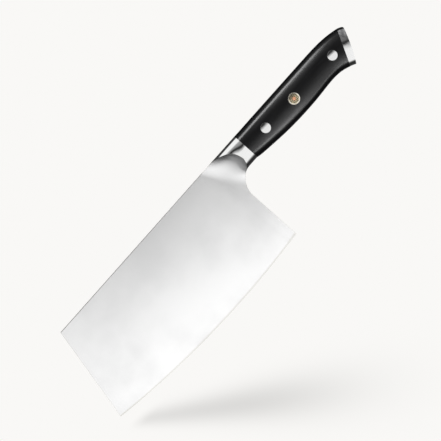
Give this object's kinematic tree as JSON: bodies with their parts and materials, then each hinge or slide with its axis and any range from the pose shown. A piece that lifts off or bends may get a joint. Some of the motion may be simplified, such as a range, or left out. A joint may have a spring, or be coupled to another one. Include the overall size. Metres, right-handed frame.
{
  "type": "meat cleaver",
  "caption": "Broad-bladed kitchen cleaver with a ramped bolster, a full tang between riveted black scales, a decorative pin and a steel end cap.",
  "frame": {"origin": "middle of the overall length, on the mid-plane of the blade, level with the lowest point of the edge", "axes": "+X from the nose of the blade to the butt of the handle, along the spine; +Z from the edge to the spine; Y across the thickness, with the knife's left side on -Y"},
  "size_m": [0.3096, 0.02, 0.081],
  "materials": {
    "satin_steel": "fine satin",
    "polished_steel": "polished",
    "rivet_steel": "polished",
    "black_scale": "semi-gloss",
    "mosaic_brass": "polished",
    "mosaic_copper": "polished copper",
    "mosaic_resin": "polished resin"
  },
  "bodies": {
    "root": {"blade": "satin_steel", "bolster": "polished_steel", "tang": "satin_steel", "scale_left": "black_scale", "scale_right": "black_scale", "end_cap": "polished_steel", "front_rivet_female": "rivet_steel", "front_rivet_male": "rivet_steel", "rear_rivet_female": "rivet_steel", "rear_rivet_male": "rivet_steel", "mosaic_sleeve": "mosaic_brass", "mosaic_ring_tubes": "mosaic_brass", "mosaic_centre_rod": "mosaic_copper", "mosaic_resin": "mosaic_resin"}
  },
  "joints": []
}
